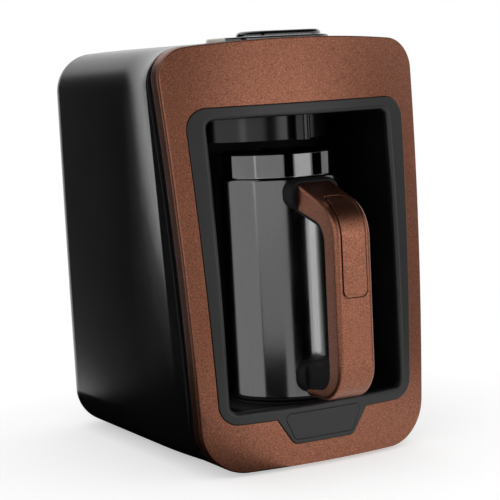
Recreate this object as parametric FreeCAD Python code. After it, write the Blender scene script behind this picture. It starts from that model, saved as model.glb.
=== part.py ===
"""Electric Turkish coffee maker: a deep housing with a pot bay, and a lift-out pot.

Millimetres.  +Z is up, the pot bay faces -Y, and the origin is on the table
under the middle of the whole object, handle included.
"""
import FreeCAD, Part
import math
import os

Vec = FreeCAD.Vector

# Driving dimensions of the housing
foot_height = 2.0
body_height = 250.0
body_half_low = 74.9
body_half_high = 85.7
body_side_bow = -0.4
body_crown = 4.4
corner_low = 27.0
corner_high = 18.0
shell_corner_high = 22.0
rear_y = 128.8
rear_half = 76.4
rear_side_bow = 0.4
rear_corner_low = 24.0
rear_corner_high = 25.0
rear_rounding = 20.0
flare_start = -46.0
flare_end = 6.0
shell_wall = 2.5

# The doubly curved front: its foremost point and its two radii
front_y = -85.5
front_z = foot_height + 62.8
front_plan_radius = 320.0
front_side_radius = 1524.0

# Layers behind the front surface, as set-backs from it
fascia_depth = 1.9
fascia_edge = 0.8
groove_width = 1.1
groove_inset = 1.5
flange_width = 8.0
flange_depth = 2.4
frame_depth = 10.5
frame_wall = 2.6
gap_depth = 6.5
gap_inset = 2.0
carrier_wall = 2.5

# Pot bay window and its bezel
window_low = foot_height + 36.1
window_high = foot_height + 204.7
window_half_low = 58.4
window_half_high = 60.7
window_corner = 5.0
bezel_low = foot_height + 29.2
bezel_high = foot_height + 211.8
bezel_half_low = 64.9
bezel_half_high = 72.8
bezel_corner = 12.0
bezel_proud = 0.6
bezel_plate = 3.0
bezel_depth = 4.5
bezel_gap = 0.35
bezel_inner_edge = 2.2
tab_half_high = 30.4
tab_half_low = 20.0
tab_low = foot_height + 13.4
badge_half_high = 26.4
badge_half_low = 19.6
badge_low = foot_height + 16.0
badge_high = foot_height + 31.6
badge_depth = 1.2

# Pot bay liner
liner_wall = 2.0
liner_rear_y = 9.0
liner_step = 0.4

# Pot
pot_y = -43.8
pot_radius = 37.9
jacket_wall = 1.4
jacket_low = foot_height + 39.2
jacket_high = foot_height + 169.1
collar_radius = 35.5
collar_wall = 2.2
collar_high = foot_height + 183.5
vessel_wall = 0.8
vessel_floor = foot_height + 54.0
pot_base_radius = 36.3
pot_base_low = foot_height + 36.9

# Pot handle, as distances in front of the pot's axis and heights
handle_reach = 83.2
handle_lean = 0.6
handle_half_width = 11.8
handle_depth = 12.0
handle_edge = 2.6
handle_bend_radius = 22.0
handle_inner_radius = 12.0
handle_liner_depth = 2.0
handle_root_high = foot_height + 169.2
handle_bend_high = foot_height + 151.2
handle_bottom = foot_height + 41.4
handle_inner_root = foot_height + 152.8
handle_inner_bend = foot_height + 142.9
handle_inner_low = foot_height + 48.5
handle_inner_foot = foot_height + 44.2

# Plug at the back of the pot and its socket
plug_half_width = 15.0
plug_low = foot_height + 43.0
plug_high = foot_height + 59.0
plug_reach = 8.0
blade_thick = 1.2
blade_height = 5.0
blade_reach = 11.0
blade_pitch = 8.5
slot_clearance = 0.4
socket_gap = 1.0

# Start control on the top
island_x = 2.0
island_y = -36.6
island_half_length = 39.5
island_radius = 19.0
island_rim = 1.2
island_proud = 1.5
button_x = 9.5
button_half_length = 27.5
button_radius = 13.8
button_proud = 4.9
button_travel = 1.5
running_gap = 0.35
trim_width = 1.5

# Inside
board_thick = 1.6
control_board_z = 236.0
power_board_z = foot_height + 14.0

body_top = foot_height + body_height
pot_front_y = pot_y - pot_radius
handle_y = pot_y - handle_reach
origin_y = (rear_y + handle_y - handle_lean) / 2


def box(x0, x1, y0, y1, z0, z1):
    """A block between two corners."""
    return Part.makeBox(x1 - x0, y1 - y0, z1 - z0, Vec(x0, y0, z0))


def rod(radius, x, y, z0, z1):
    """An upright cylinder."""
    return Part.makeCylinder(radius, z1 - z0, Vec(x, y, z0))


def rod_y(radius, x, z, y0, y1):
    """A cylinder lying along Y."""
    return Part.makeCylinder(radius, y1 - y0, Vec(x, y0, z), Vec(0, 1, 0))


def joined(shapes):
    """Several solids as one."""
    whole = shapes[0]
    for shape in shapes[1:]:
        whole = whole.fuse(shape)
    return whole.removeSplitter()


def rounded_face(corners):
    """A flat face through (point, radius) corners, each rounded by its radius."""
    count = len(corners)
    edges = []
    ends = []
    for i in range(count):
        before = corners[i - 1][0]
        here, radius = corners[i]
        after = corners[(i + 1) % count][0]
        back = (before - here).normalize()
        ahead = (after - here).normalize()
        half = back.getAngle(ahead) / 2
        reach = radius / math.tan(half)
        start = here + back * reach
        end = here + ahead * reach
        middle = here + (back + ahead).normalize() * (radius / math.sin(half) - radius)
        ends.append((start, middle, end, radius))
    for i in range(count):
        start, middle, end, radius = ends[i]
        if radius > 0:
            edges.append(Part.Arc(start, middle, end).toShape())
        edges.append(Part.makeLine(end, ends[(i + 1) % count][0]))
    return Part.Face(Part.Wire(edges))


def side_bar(corners, half_width):
    """A YZ outline of (y, z, radius) corners, made into a bar across X."""
    face = rounded_face([(Vec(-half_width, y, z), radius) for y, z, radius in corners])
    return face.extrude(Vec(2 * half_width, 0, 0))


def front_bar(corners, y0, y1):
    """An XZ outline of (x, z, radius) corners, made into a bar along Y."""
    face = rounded_face([(Vec(x, y0, z), radius) for x, z, radius in corners])
    return face.extrude(Vec(0, y1 - y0, 0))


def stadium(half_length, radius, z0, z1, x=island_x):
    """An upright bar with round ends, on the control's middle line."""
    y = island_y
    reach = half_length - radius
    edges = [
        Part.makeLine(Vec(x - reach, y - radius, z0), Vec(x + reach, y - radius, z0)),
        Part.Arc(Vec(x + reach, y - radius, z0), Vec(x + half_length, y, z0),
                 Vec(x + reach, y + radius, z0)).toShape(),
        Part.makeLine(Vec(x + reach, y + radius, z0), Vec(x - reach, y + radius, z0)),
        Part.Arc(Vec(x - reach, y + radius, z0), Vec(x - half_length, y, z0),
                 Vec(x - reach, y - radius, z0)).toShape(),
    ]
    return Part.Face(Part.Wire(edges)).extrude(Vec(0, 0, z1 - z0))


def turned(profile):
    """A (radius, z) outline turned about the pot's axis."""
    points = [Vec(radius, pot_y, z) for radius, z in profile]
    face = Part.Face(Part.makePolygon(points + points[:1]))
    return face.revolve(Vec(0, pot_y, 0), Vec(0, 0, 1), 360)


def pot_rod(radius, z0, z1):
    """An upright cylinder on the pot's axis."""
    return rod(radius, 0, pot_y, z0, z1)


def body_bar(inset, y0, y1, high_radius=corner_high, share=0.0):
    """The body's outline, inset all round, as a bar along Y.

    The share goes from 0 for the wide front outline to 1 for the rear one.
    """
    low_z = foot_height + inset
    half_low = body_half_low + share * (rear_half - body_half_low) - inset
    half_high = body_half_high + share * (rear_half - body_half_high) - inset
    low_radius = corner_low + share * (rear_corner_low - corner_low)
    shoulder_z = body_top - body_crown - inset
    side_bow = body_side_bow + share * (rear_side_bow - body_side_bow)
    side_middle = (half_low + half_high) / 2 + side_bow
    middle_z = (low_z + shoulder_z) / 2
    low_left = Vec(-half_low, y0, low_z)
    low_right = Vec(half_low, y0, low_z)
    high_left = Vec(-half_high, y0, shoulder_z)
    high_right = Vec(half_high, y0, shoulder_z)
    wire = Part.Wire([
        Part.makeLine(low_left, low_right),
        Part.Arc(low_right, Vec(side_middle, y0, middle_z), high_right).toShape(),
        Part.Arc(high_right, Vec(0, y0, body_top - inset), high_left).toShape(),
        Part.Arc(high_left, Vec(-side_middle, y0, middle_z), low_left).toShape(),
    ])
    bar = Part.Face(wire).extrude(Vec(0, y1 - y0, 0))
    low_edges = [edge for edge in long_edges(bar, y1 - y0) if edge.CenterOfMass.z < front_z]
    bar = bar.makeFillet(low_radius - inset, low_edges)
    high_edges = [edge for edge in long_edges(bar, y1 - y0) if edge.CenterOfMass.z > shoulder_z - 1]
    return bar.makeFillet(high_radius - inset, high_edges)


def tub(inset):
    """The housing's outer form, inset all round: straight at the rear, flared to the front."""
    count = 5
    slice_depth = 1.0
    sections = []
    for i in range(count):
        along = i / (count - 1)
        y = flare_start + along * (flare_end - flare_start)
        share = 1 - (1 - along) ** 2
        radius = shell_corner_high + share * (rear_corner_high - shell_corner_high)
        bar = body_bar(inset, y, y + slice_depth, radius, share)
        face = [face for face in bar.Faces if abs(face.CenterOfMass.y - y) < 0.001][0]
        sections.append(face.OuterWire)
    flare = Part.makeLoft(sections, True, False)
    nose = body_bar(inset, front_y - 10, flare_start, shell_corner_high)
    rear = body_bar(inset, flare_end, rear_y - inset, rear_corner_high, 1.0)
    rear_edges = [edge for edge in rear.Edges
                  if all(abs(vertex.Y - rear_y + inset) < 0.01 for vertex in edge.Vertexes)]
    rear = rear.makeFillet(rear_rounding - inset, rear_edges)
    return nose.fuse([flare, rear])


def long_edges(bar, length):
    """The edges of a bar that run its whole length along Y."""
    found = []
    for edge in bar.Edges:
        ends = edge.Vertexes
        if len(ends) == 2 and abs(abs(ends[0].Y - ends[1].Y) - length) < 0.01:
            found.append(edge)
    return found


def behind_front(setback):
    """All the space behind the doubly curved front, moved back by a set-back."""
    y = front_y + setback
    half = 130.0
    depth = 420.0
    sag = front_plan_radius - math.sqrt(front_plan_radius ** 2 - half ** 2)
    left = Vec(-half, y + sag, front_z)
    right = Vec(half, y + sag, front_z)
    far_left = Vec(-half, y + depth, front_z)
    far_right = Vec(half, y + depth, front_z)
    wire = Part.Wire([
        Part.Arc(left, Vec(0, y, front_z), right).toShape(),
        Part.makeLine(right, far_right),
        Part.makeLine(far_right, far_left),
        Part.makeLine(far_left, left),
    ])
    swing_low = 10.0
    swing_high = 16.0
    axis_point = Vec(0, y + front_side_radius, front_z)
    face = Part.Face(wire).rotate(axis_point, Vec(1, 0, 0), swing_low)
    return face.revolve(axis_point, Vec(1, 0, 0), -swing_low - swing_high)


def front_layer(inset, near, far, high_radius=corner_high):
    """A slice of the body's outline between two set-backs from the front."""
    reach = 60.0
    bar = body_bar(inset, front_y - reach, front_y + reach, high_radius)
    return bar.common(behind_front(near)).cut(behind_front(far))


def window_bar(grow, y0, y1, low_shift=0.0):
    """The pot bay's window, grown all round, as a bar along Y."""
    radius = window_corner + grow
    low = window_low - grow + low_shift
    high = window_high + grow
    return front_bar([
        (-window_half_low - grow, low, radius),
        (window_half_low + grow, low, radius),
        (window_half_high + grow, high, radius),
        (-window_half_high - grow, high, radius),
    ], y0, y1)


def bezel_bar(grow, y0, y1):
    """The bezel's outer outline with its badge tab, as a bar along Y."""
    ring = front_bar([
        (-bezel_half_low - grow, bezel_low - grow, bezel_corner + grow),
        (bezel_half_low + grow, bezel_low - grow, bezel_corner + grow),
        (bezel_half_high + grow, bezel_high + grow, bezel_corner + grow),
        (-bezel_half_high - grow, bezel_high + grow, bezel_corner + grow),
    ], y0, y1)
    tab_corner = 5.0
    overlap = 3.0
    slope = (tab_half_high - tab_half_low) / (bezel_low - tab_low)
    top_half = tab_half_high + slope * overlap
    tab = front_bar([
        (-tab_half_low - grow, tab_low - grow, tab_corner),
        (tab_half_low + grow, tab_low - grow, tab_corner),
        (top_half + grow, bezel_low + overlap, 0),
        (-top_half - grow, bezel_low + overlap, 0),
    ], y0, y1)
    return joined([ring, tab])


def badge_bar(grow, y0, y1):
    """The bare badge plate's outline, as a bar along Y."""
    corner = 3.0
    return front_bar([
        (-badge_half_low - grow, badge_low - grow, corner + grow),
        (badge_half_low + grow, badge_low - grow, corner + grow),
        (badge_half_high + grow, badge_high + grow, corner + grow),
        (-badge_half_high - grow, badge_high + grow, corner + grow),
    ], y0, y1)


# Underside: the cover's opening, its screws and the feet
base_half_width = 46.0
base_y0 = front_y + 38.0
base_y1 = rear_y - 44.0
ledge = 4.0
screw_radius = 1.6
screw_places = [(sx * 40.0, y) for sx in (-1, 1) for y in (base_y0 + 11.0, base_y1 - 11.0)]
foot_radius = 8.0
foot_peg = 2.6
foot_places = [(sx * 34.0, y) for sx in (-1, 1) for y in (front_y + 28.5, rear_y - 31.0)]

# Cord gland low in the rear wall
gland_x = 46.0
gland_z = foot_height + 32.0
gland_neck = 7.0
gland_flange = 9.5
gland_plate = 2.4
gland_bore = 3.6
gland_length = 16.0

parts = {}
near_y = front_y - 20.0
far_y = front_y + 80.0
frame_back = frame_depth
shell_start = frame_depth + gap_depth


# Rear shell: one deep moulded tub, open to the front and below
def make_rear_shell():
    outer = tub(0).common(behind_front(shell_start))
    inner = tub(shell_wall)
    shell = joined([outer.cut(inner), make_base_ring().common(inner)])
    shell = shell.cut(base_plate(0.3, foot_height - 1, foot_height + shell_wall))
    shell = shell.cut(stadium(island_half_length - island_rim, island_radius - island_rim,
                              body_top - 20, body_top + 5))
    for slot in rear_vents():
        shell = shell.cut(slot)
    for x, y in screw_places:
        shell = shell.cut(rod(screw_radius - 0.05, x, y, foot_height, foot_height + 9.5))
    for x, y in foot_places:
        shell = shell.cut(rod(foot_peg, x, y, -1, foot_height + shell_wall + 1))
    seat = rod_y(gland_flange + 0.2, gland_x, gland_z, rear_y - gland_plate - 0.02, rear_y + 5)
    return shell.cut(seat).cut(rod_y(gland_neck + 0.2, gland_x, gland_z, rear_y - 20, rear_y + 5))


def make_base_ring():
    """The ledge inside the underside's opening, with a boss at each screw."""
    top = foot_height + shell_wall
    ring = base_plate(ledge, top - 0.5, top + 2.5).cut(base_plate(-ledge, top - 1, top + 5))
    return joined([ring] + [rod(4.0, x, y, top - 0.5, top + 8.0) for x, y in screw_places])


def base_plate(grow, z0, z1):
    """The base cover's outline, grown all round, as a slab."""
    radius = 12.0
    half = base_half_width + grow
    face = rounded_face([
        (Vec(-half, base_y0 - grow, z0), radius + grow),
        (Vec(half, base_y0 - grow, z0), radius + grow),
        (Vec(half, base_y1 + grow, z0), radius + grow),
        (Vec(-half, base_y1 + grow, z0), radius + grow),
    ])
    return face.extrude(Vec(0, 0, z1 - z0))


def rear_vents():
    """A field of upright cooling slots through the rear wall."""
    slots = []
    count = 11
    pitch = 8.0
    slot_radius = 1.6
    for row_z in (foot_height + 150.0, foot_height + 185.0):
        for i in range(count):
            x = (i - (count - 1) / 2) * pitch
            slots.append(front_bar([
                (x - slot_radius, row_z, slot_radius - 0.01),
                (x + slot_radius, row_z, slot_radius - 0.01),
                (x + slot_radius, row_z + 28.0, slot_radius - 0.01),
                (x - slot_radius, row_z + 28.0, slot_radius - 0.01),
            ], rear_y - 10, rear_y + 5))
    return slots


parts["rear_shell"] = make_rear_shell()


# Front carrier: the recessed black sub-frame between shell and front frame
def make_front_carrier():
    corner = shell_corner_high
    plate_front = fascia_depth + flange_depth + 0.1
    plate_back = plate_front + carrier_wall
    inner = gap_inset + 3.2
    plate = front_layer(frame_wall + 0.25, plate_front, plate_back)
    nose = front_layer(frame_wall + 0.25, plate_back, frame_back).cut(
        front_layer(inner, plate_back - 1, frame_back + 1))
    band = front_layer(gap_inset, frame_back, shell_start, corner).cut(
        front_layer(inner, frame_back - 1, shell_start + 1, corner))
    spigot = tub(shell_wall + 0.15).common(behind_front(shell_start)).cut(
        behind_front(shell_start + 4.0)).cut(front_layer(inner, shell_start - 1, shell_start + 5, corner))
    whole = joined([plate, nose, band, spigot])
    collar_gap = liner_wall + liner_step + 0.2
    sleeve = window_bar(collar_gap + carrier_wall, near_y, far_y).common(
        behind_front(plate_front)).cut(behind_front(shell_start))
    notch = stadium(island_half_length + 0.2, island_radius + 0.2, body_top - 13, body_top + 5)
    return joined([whole, sleeve]).cut(window_bar(collar_gap, near_y, far_y)).cut(notch)


parts["front_carrier"] = make_front_carrier()


# Front frame: the bronze side band, and the neck and flange that carry the fascia
def make_front_frame():
    neck_back = fascia_depth + flange_depth
    neck = front_layer(groove_inset, fascia_depth, neck_back)
    flange_hole = front_layer(flange_width, fascia_depth - 1, neck_back + 1)
    band = front_layer(0, fascia_depth + groove_width, frame_depth)
    hollow = front_layer(frame_wall, fascia_depth, frame_depth + 5)
    return joined([neck.cut(flange_hole), band.cut(hollow)])


parts["front_frame"] = make_front_frame()


# Front fascia: the bronze face plate with its softened rim, cut for the bezel
def make_fascia():
    plate = front_layer(0, 0, fascia_depth)
    rim = [edge for edge in plate.Edges if is_front_edge(edge, 0)]
    plate = plate.makeFillet(fascia_edge, rim)
    return plate.cut(bezel_bar(bezel_gap, near_y, far_y))


def is_front_edge(edge, setback):
    """True for an edge that lies on the front surface, moved back by a set-back."""
    outside = behind_front(setback + 0.01)
    inside = behind_front(setback - 0.01)
    middle = edge.valueAt((edge.FirstParameter + edge.LastParameter) / 2)
    return inside.isInside(middle, 0.001, True) and not outside.isInside(middle, 0.001, True)


parts["front_fascia"] = make_fascia()


# Window bezel: face ring with badge tab, and a sleeve back to the liner
def make_window_bezel():
    proud = behind_front(-bezel_proud)
    plate = bezel_bar(0, near_y, far_y).common(proud).cut(behind_front(bezel_plate - bezel_proud))
    sleeve_wall = 2.0
    sleeve = window_bar(sleeve_wall, near_y, far_y).common(proud).cut(behind_front(bezel_depth))
    bezel = joined([plate, sleeve]).cut(window_bar(0, near_y, far_y))
    rim = [edge for edge in bezel.Edges
           if is_front_edge(edge, -bezel_proud) and in_window(edge)]
    bezel = bezel.makeFillet(bezel_inner_edge, rim)
    recess = badge_bar(0.25, near_y, far_y).common(behind_front(-5)).cut(
        behind_front(badge_depth - bezel_proud))
    return bezel.cut(recess)


def in_window(edge):
    """True for an edge on the window's own outline."""
    middle = edge.valueAt((edge.FirstParameter + edge.LastParameter) / 2)
    point = Part.Vertex(middle)
    wall = window_bar(0.02, near_y, far_y)
    return point.distToShape(wall)[0] < 0.01


parts["window_bezel"] = make_window_bezel()

badge = badge_bar(0, near_y, far_y).common(behind_front(-bezel_proud))
parts["badge_plate"] = badge.cut(behind_front(badge_depth - bezel_proud - 0.05))


# Pot bay liner: a deep box open to the front, with posts on its roof
board_post_radius = 3.5
board_half_x = 32.0
board_half_y = 17.0
post_places = [(sx * (board_half_x - 5), island_y + sy * (board_half_y - 5))
               for sx in (-1, 1) for sy in (-1, 1)]


def make_liner():
    outer = window_bar(liner_wall + liner_step, near_y, liner_rear_y + liner_wall)
    inner = window_bar(liner_step, near_y - 1, liner_rear_y)
    tub = outer.cut(inner)
    tub = tub.common(behind_front(bezel_depth + 0.1))
    roof = window_high + liner_step + liner_wall
    posts = [rod(board_post_radius, x, y, roof - 0.5, control_board_z) for x, y in post_places]
    tub = joined([tub] + posts)
    for x, y in post_places:
        tub = tub.cut(rod(1.2, x, y, control_board_z - 9, control_board_z + 1))
    socket_hole = box(-socket_half - 0.2, socket_half + 0.2, liner_rear_y - 2, liner_rear_y + 5,
                      socket_low - 0.2, socket_high + 0.2)
    return tub.cut(socket_hole)


socket_half = plug_half_width + 3.0
socket_low = plug_low - 1.5
socket_high = plug_high + 1.5
socket_front = pot_y + pot_radius + plug_reach + socket_gap
socket_rear = liner_rear_y + 18.0

parts["cavity_liner"] = make_liner()
ceiling_z = window_high + liner_step
floor_z = window_low - liner_step


# Hood over the pot's mouth, with the boil sensor in front of it
hood_radius = 43.0
hood_y = -21.0
hood_low = foot_height + 190.2
hood = rod(hood_radius, 0, hood_y, hood_low, ceiling_z)
hood = hood.cut(box(-80, 80, liner_rear_y - 0.1, liner_rear_y + 90, 0, 300))
hood = hood.cut(rod(hood_radius - 3.0, 0, hood_y, hood_low - 1, hood_low + 2.0))
sensor_window = rod(9.0, 0, hood_y - 12.0, hood_low - 1, hood_low + 5.0)
parts["ceiling_hood"] = hood.cut(sensor_window)
parts["steam_sensor"] = rod(8.7, 0, hood_y - 12.0, hood_low + 1.0, hood_low + 5.0)

sleeve_radius = 4.7
sleeve_x = 4.0
sleeve_y = -69.4
sleeve_low = foot_height + 190.0
sleeve = rod(sleeve_radius, sleeve_x, sleeve_y, sleeve_low, ceiling_z)
parts["sensor_sleeve"] = sleeve.cut(rod(3.2, sleeve_x, sleeve_y, sleeve_low - 1, ceiling_z - 3))
parts["sensor_lens"] = rod(3.1, sleeve_x, sleeve_y, sleeve_low + 0.8, ceiling_z - 3)


# Round stand that the pot sits on
stand_radius = 36.8
stand_top = pot_base_low - 0.3
stand = pot_rod(stand_radius, floor_z, stand_top)
stand = stand.cut(pot_rod(stand_radius - 3.0, stand_top - 0.5, stand_top + 1))
stand = stand.fuse(pot_rod(pot_base_radius - 2.0, stand_top - 0.5, stand_top)).removeSplitter()
parts["pot_stand"] = stand


# Socket in the bay's rear wall and its three spring contacts
blade_z = (plug_low + plug_high) / 2
blade_xs = [-blade_pitch, 0.0, blade_pitch]


def make_socket():
    body = box(-socket_half, socket_half, socket_front, socket_rear, socket_low, socket_high)
    corner_edges = [edge for edge in long_edges(body, socket_rear - socket_front)]
    body = body.makeFillet(3.0, corner_edges)
    flange = box(-socket_half - 4, socket_half + 4, liner_rear_y + liner_wall + 0.05,
                 liner_rear_y + liner_wall + 2.5, socket_low - 4, socket_high + 4)
    body = joined([body, flange])
    for x in blade_xs:
        half_slot = blade_thick / 2 + slot_clearance
        half_high = blade_height / 2 + slot_clearance
        body = body.cut(box(x - half_slot, x + half_slot, socket_front - 1, socket_rear - 4,
                            blade_z - half_high, blade_z + half_high))
        body = body.cut(box(x - 2.0, x + 2.0, socket_front + 5, socket_rear - 4,
                            blade_z - half_high, blade_z + half_high))
    return body


parts["socket_housing"] = make_socket()


def make_contact(x):
    """A leaf that lies beside a blade, with a solder tail out of the back."""
    leaf_x = x + blade_thick / 2 + 0.3
    leaf = box(leaf_x, leaf_x + 0.6, socket_front + 6, socket_rear - 4.2, blade_z - 2, blade_z + 2)
    tail = box(leaf_x, leaf_x + 0.6, socket_rear - 4.2, socket_rear + 6, blade_z - 1, blade_z + 1)
    return joined([leaf, tail])


contacts = [make_contact(x) for x in blade_xs]
parts["socket_contacts"] = Part.makeCompound(contacts)
for contact in contacts:
    parts["socket_housing"] = parts["socket_housing"].cut(contact)


# Base cover with its vents and posts for the power board, feet and screws
power_half_x = 38.0
power_y0 = 12.0
power_y1 = 74.0
power_posts = [(sx * (power_half_x - 5), y) for sx in (-1, 1) for y in (power_y0 + 5, power_y1 - 5)]


def make_base_cover():
    top = foot_height + shell_wall - 0.05
    cover = base_plate(0, foot_height, top)
    posts = [rod(4.0, x, y, top - 0.5, power_board_z) for x, y in power_posts]
    cover = joined([cover] + posts)
    for x, y in power_posts:
        cover = cover.cut(rod(1.15, x, y, power_board_z - 8, power_board_z + 1))
    vent_count = 9
    for i in range(vent_count):
        y = base_y0 + 14.0 + i * 5.0
        cover = cover.cut(box(-20, 20, y, y + 2.2, 0, top + 1))
    for x, y in screw_places:
        cover = cover.cut(rod(screw_radius + 0.1, x, y, 0, top + 1))
        cover = cover.cut(rod(3.4, x, y, 0, foot_height + 1.4))
    return cover


parts["base_cover"] = make_base_cover()

feet = []
for x, y in foot_places:
    pad = rod(foot_radius, x, y, 0, foot_height - 0.02)
    pad = pad.makeFillet(0.6, [edge for edge in pad.Edges if edge.CenterOfMass.z < 0.1])
    peg = rod(foot_peg, x, y, foot_height - 0.1, foot_height + shell_wall + 1.0)
    feet.append(pad.fuse(peg).removeSplitter())
parts["feet"] = Part.makeCompound(feet)


def make_screw(x, y, head_z, length, head_radius, shank_radius):
    """A pan-head screw driven upwards, with a cross recess in its head."""
    head = rod(head_radius, x, y, head_z, head_z + 1.6)
    shank = rod(shank_radius, x, y, head_z + 1.5, head_z + length)
    screw = joined([head, shank])
    for angle in (0, 90):
        blade = box(x - 1.6, x + 1.6, y - 0.3, y + 0.3, head_z - 1, head_z + 0.8)
        blade.rotate(Vec(x, y, 0), Vec(0, 0, 1), angle)
        screw = screw.cut(blade)
    return screw


parts["base_screws"] = Part.makeCompound(
    [make_screw(x, y, foot_height - 0.2, 8.5, 3.2, screw_radius - 0.06) for x, y in screw_places])


# Power board behind the pot bay, with what stands on it
parts["power_board"] = box(-power_half_x, power_half_x, power_y0, power_y1,
                           power_board_z, power_board_z + board_thick)
power_top = power_board_z + board_thick


def make_transformer():
    core = box(-32, -4, 24, 46, power_top, power_top + 24)
    core = core.makeFillet(1.0, core.Edges)
    bobbin = box(-28, -8, 20, 50, power_top + 4, power_top + 20)
    bobbin = bobbin.makeFillet(3.0, long_edges(bobbin, 30))
    return joined([core, bobbin])


parts["transformer"] = make_transformer()
relay = box(6, 25, 24, 39, power_top, power_top + 16)
parts["power_relay"] = relay.makeFillet(0.8, [edge for edge in relay.Edges if edge.CenterOfMass.z > power_top + 8])
capacitor = rod(6.5, 15, 49, power_top, power_top + 18)
parts["capacitor"] = capacitor.makeFillet(0.8, [edge for edge in capacitor.Edges
                                               if edge.CenterOfMass.z > power_top + 17])


def make_terminals():
    block = box(-6, 24, 62, 72, power_top, power_top + 12)
    for i in range(3):
        x = -1.0 + i * 10.0
        block = block.cut(rod(2.6, x, 67, power_top + 6, power_top + 13))
        block = block.cut(rod_y(2.2, x, power_top + 4, 66, 73))
    return block


parts["terminal_block"] = make_terminals()


# Cord gland in the rear wall: flange outside, neck and clamp inside
def make_gland():
    flange = rod_y(gland_flange, gland_x, gland_z, rear_y - gland_plate, rear_y)
    neck = rod_y(gland_neck, gland_x, gland_z, rear_y - gland_length, rear_y - gland_plate + 0.1)
    gland = joined([flange, neck])
    clamp_y = rear_y - 10.0
    groove = rod_y(gland_neck + 1, gland_x, gland_z, clamp_y, clamp_y + 2.5).cut(
        rod_y(gland_neck - 1.4, gland_x, gland_z, clamp_y - 1, clamp_y + 3.5))
    return gland.cut(groove).cut(rod_y(gland_bore, gland_x, gland_z, rear_y - 40, rear_y + 10))


parts["cord_gland"] = make_gland()


# Control board above the pot bay with its switch and buzzer
parts["control_board"] = box(-board_half_x, board_half_x, island_y - board_half_y,
                             island_y + board_half_y, control_board_z, control_board_z + board_thick)
board_top = control_board_z + board_thick
switch_body = box(button_x - 3, button_x + 3, island_y - 3, island_y + 3, board_top, board_top + 3.5)
switch_stem = rod(1.75, button_x, island_y, board_top + 3.4, board_top + 5.0)
parts["tact_switch"] = joined([switch_body, switch_stem])
buzzer = rod(6.0, -14, island_y, board_top, board_top + 4.5)
parts["buzzer"] = buzzer.cut(rod(1.0, -14, island_y, board_top + 3, board_top + 5))
parts["indicator_lamp"] = joined([
    box(-31.5, -27.5, island_y - 2, island_y + 2, board_top, board_top + 1.2),
    rod(1.6, -29.5, island_y, board_top + 1.1, board_top + 2.6),
])
parts["board_screws"] = Part.makeCompound([
    rod(2.4, x, y, board_top, board_top + 1.6).fuse(
        rod(1.15, x, y, board_top - 8, board_top + 0.1)).removeSplitter() for x, y in post_places])
for x, y in post_places:
    parts["control_board"] = parts["control_board"].cut(rod(1.3, x, y, control_board_z - 1, board_top + 1))
parts["power_screws"] = Part.makeCompound([
    rod(2.6, x, y, power_top, power_top + 1.6).fuse(
        rod(1.15, x, y, power_top - 8, power_top + 0.1)).removeSplitter() for x, y in power_posts])
for x, y in power_posts:
    parts["power_board"] = parts["power_board"].cut(rod(1.3, x, y, power_board_z - 1, power_top + 1))


# Start control: island plate, light window, chrome trim, button and spring
island_top = body_top + island_proud
trim_half = button_half_length + running_gap + trim_width
trim_radius = button_radius + running_gap + trim_width
trim_top = island_top + 0.3
button_top = body_top + button_proud
button_low = island_top - 8.0
window_x = -33.0


island_edge = 1.2


def make_island():
    plate = stadium(island_half_length, island_radius, body_top - 12, island_top)
    top_edges = [edge for edge in plate.Edges if edge.CenterOfMass.z > island_top - 0.01]
    plate = plate.makeFillet(island_edge, top_edges)
    plate = plate.cut(island_seat())
    under = stadium(island_half_length - island_rim - 1.7, island_radius - island_rim - 1.7,
                    body_top - 20, body_top - 2.5)
    plate = plate.cut(under)
    plate = plate.cut(stadium(trim_half + 0.1, trim_radius + 0.1, body_top - 30, body_top + 10, button_x))
    return plate.cut(light_window(0.1))


def island_seat():
    """The housing's top as the island meets it: solid outside its hole."""
    return tub(0).cut(
        stadium(island_half_length - island_rim - 0.2, island_radius - island_rim - 0.2,
                body_top - 30, body_top + 10))


def light_window(gap):
    """The pale lens that caps the left end of the island."""
    lens = stadium(island_half_length, island_radius, body_top - 12, island_top)
    top_edges = [edge for edge in lens.Edges if edge.CenterOfMass.z > island_top - 0.01]
    lens = lens.makeFillet(island_edge, top_edges)
    return lens.common(box(-60, window_x + gap, island_y - 40, island_y + 40, 0, 300))


parts["control_island"] = make_island()
lens = light_window(0)
parts["light_window"] = lens.cut(box(-60, 0, island_y - 40, island_y + 40, 0, body_top - 2.5)).cut(island_seat())

trim = stadium(trim_half, trim_radius, button_low - 2.5, trim_top, button_x)
trim = trim.makeFillet(0.6, [edge for edge in trim.Edges if edge.CenterOfMass.z > trim_top - 0.01])
trim_hole = stadium(button_half_length + running_gap, button_radius + running_gap,
                    button_low - 5, trim_top + 5, button_x)
parts["chrome_trim"] = trim.cut(trim_hole)

button = stadium(button_half_length, button_radius, button_low, button_top, button_x)
button = button.makeFillet(2.8, [edge for edge in button.Edges if edge.CenterOfMass.z > button_top - 0.01])
button = button.cut(stadium(button_half_length - 1.8, button_radius - 1.8, button_low - 1,
                            button_top - 4.0, button_x))
plunger_low = board_top + 5.0 + button_travel + 0.2
button = button.fuse(rod(2.2, button_x, island_y, plunger_low, button_top - 3.5)).removeSplitter()
parts["start_button"] = button


def make_spring():
    """A coil of round wire about the switch, from the board to the button."""
    low = board_top + 0.5
    high = button_top - 4.0 - 0.5
    coil_radius = 5.2
    wire_radius = 0.4
    turns = 4.0
    helix = Part.makeHelix((high - low) / turns, high - low, coil_radius)
    helix.translate(Vec(button_x, island_y, low))
    section = Part.Wire(Part.makeCircle(wire_radius, Vec(button_x + coil_radius, island_y, low),
                                        Vec(0, 1, 0)))
    return Part.Wire(helix.Edges).makePipeShell([section], True, True)


parts["button_spring"] = make_spring()


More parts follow.
